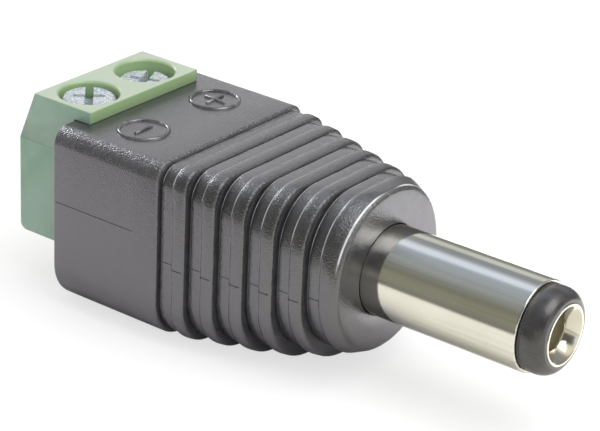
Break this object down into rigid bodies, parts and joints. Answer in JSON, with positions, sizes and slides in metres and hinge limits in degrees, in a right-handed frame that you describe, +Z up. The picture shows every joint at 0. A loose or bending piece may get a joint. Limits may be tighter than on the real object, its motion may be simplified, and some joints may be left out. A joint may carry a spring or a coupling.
{
  "type": "dc barrel plug",
  "caption": "Round barrel power plug in a ribbed tapering housing, with a screw terminal block at its rear for two bare wires.",
  "frame": {"origin": "on the barrel's axis, at the flat front face of the housing where the barrel comes out", "axes": "+X forward along the barrel to its tip, +Y to the plus terminal's side, +Z up, to the side with the screws"},
  "size_m": [0.0366, 0.0136, 0.0123],
  "materials": {
    "housing_plastic": "satin",
    "block_plastic": "satin",
    "insulator_plastic": "glossy",
    "nickel": "polished",
    "lug_metal": "tinned",
    "zinc": "bright zinc",
    "solder_metal": "dull"
  },
  "bodies": {
    "plug": {"housing": "housing_plastic", "terminal_block": "block_plastic", "outer_sleeve": "nickel", "tip_insulator": "insulator_plastic", "centre_contact": "nickel", "rear_bush": "insulator_plastic", "sleeve_lug": "lug_metal", "centre_lug": "lug_metal", "solder_plus": "solder_metal", "solder_minus": "solder_metal", "clamp_frame_plus": "zinc", "clamp_frame_minus": "zinc"},
    "plus_plate": {"pressure_plate_plus": "zinc"},
    "plus_screw": {"screw_plus": "zinc"},
    "minus_plate": {"pressure_plate_minus": "zinc"},
    "minus_screw": {"screw_minus": "zinc"}
  },
  "joints": [
    {"name": "plus_plate_travel", "type": "slide", "parent": "plug", "child": "plus_plate", "axis": [0, 0, -1], "range_m": [-0.00075, 0.00145]},
    {"name": "plus_screw_turn", "type": "hinge", "parent": "plus_plate", "child": "plus_screw", "pos_m": [-0.02099, 0.00254, 0.00497], "axis": [0, 0, -1], "range_deg": [-600, 1160]},
    {"name": "minus_plate_travel", "type": "slide", "parent": "plug", "child": "minus_plate", "axis": [0, 0, -1], "range_m": [-0.0004, 0.0018]},
    {"name": "minus_screw_turn", "type": "hinge", "parent": "minus_plate", "child": "minus_screw", "pos_m": [-0.02099, -0.00254, 0.00532], "axis": [0, 0, -1], "range_deg": [-320, 1440]}
  ],
  "couplings": [
    {"joint": "plus_screw_turn", "follows": "plus_plate_travel", "rad_per_m": 13963},
    {"joint": "minus_screw_turn", "follows": "minus_plate_travel", "rad_per_m": 13963}
  ]
}
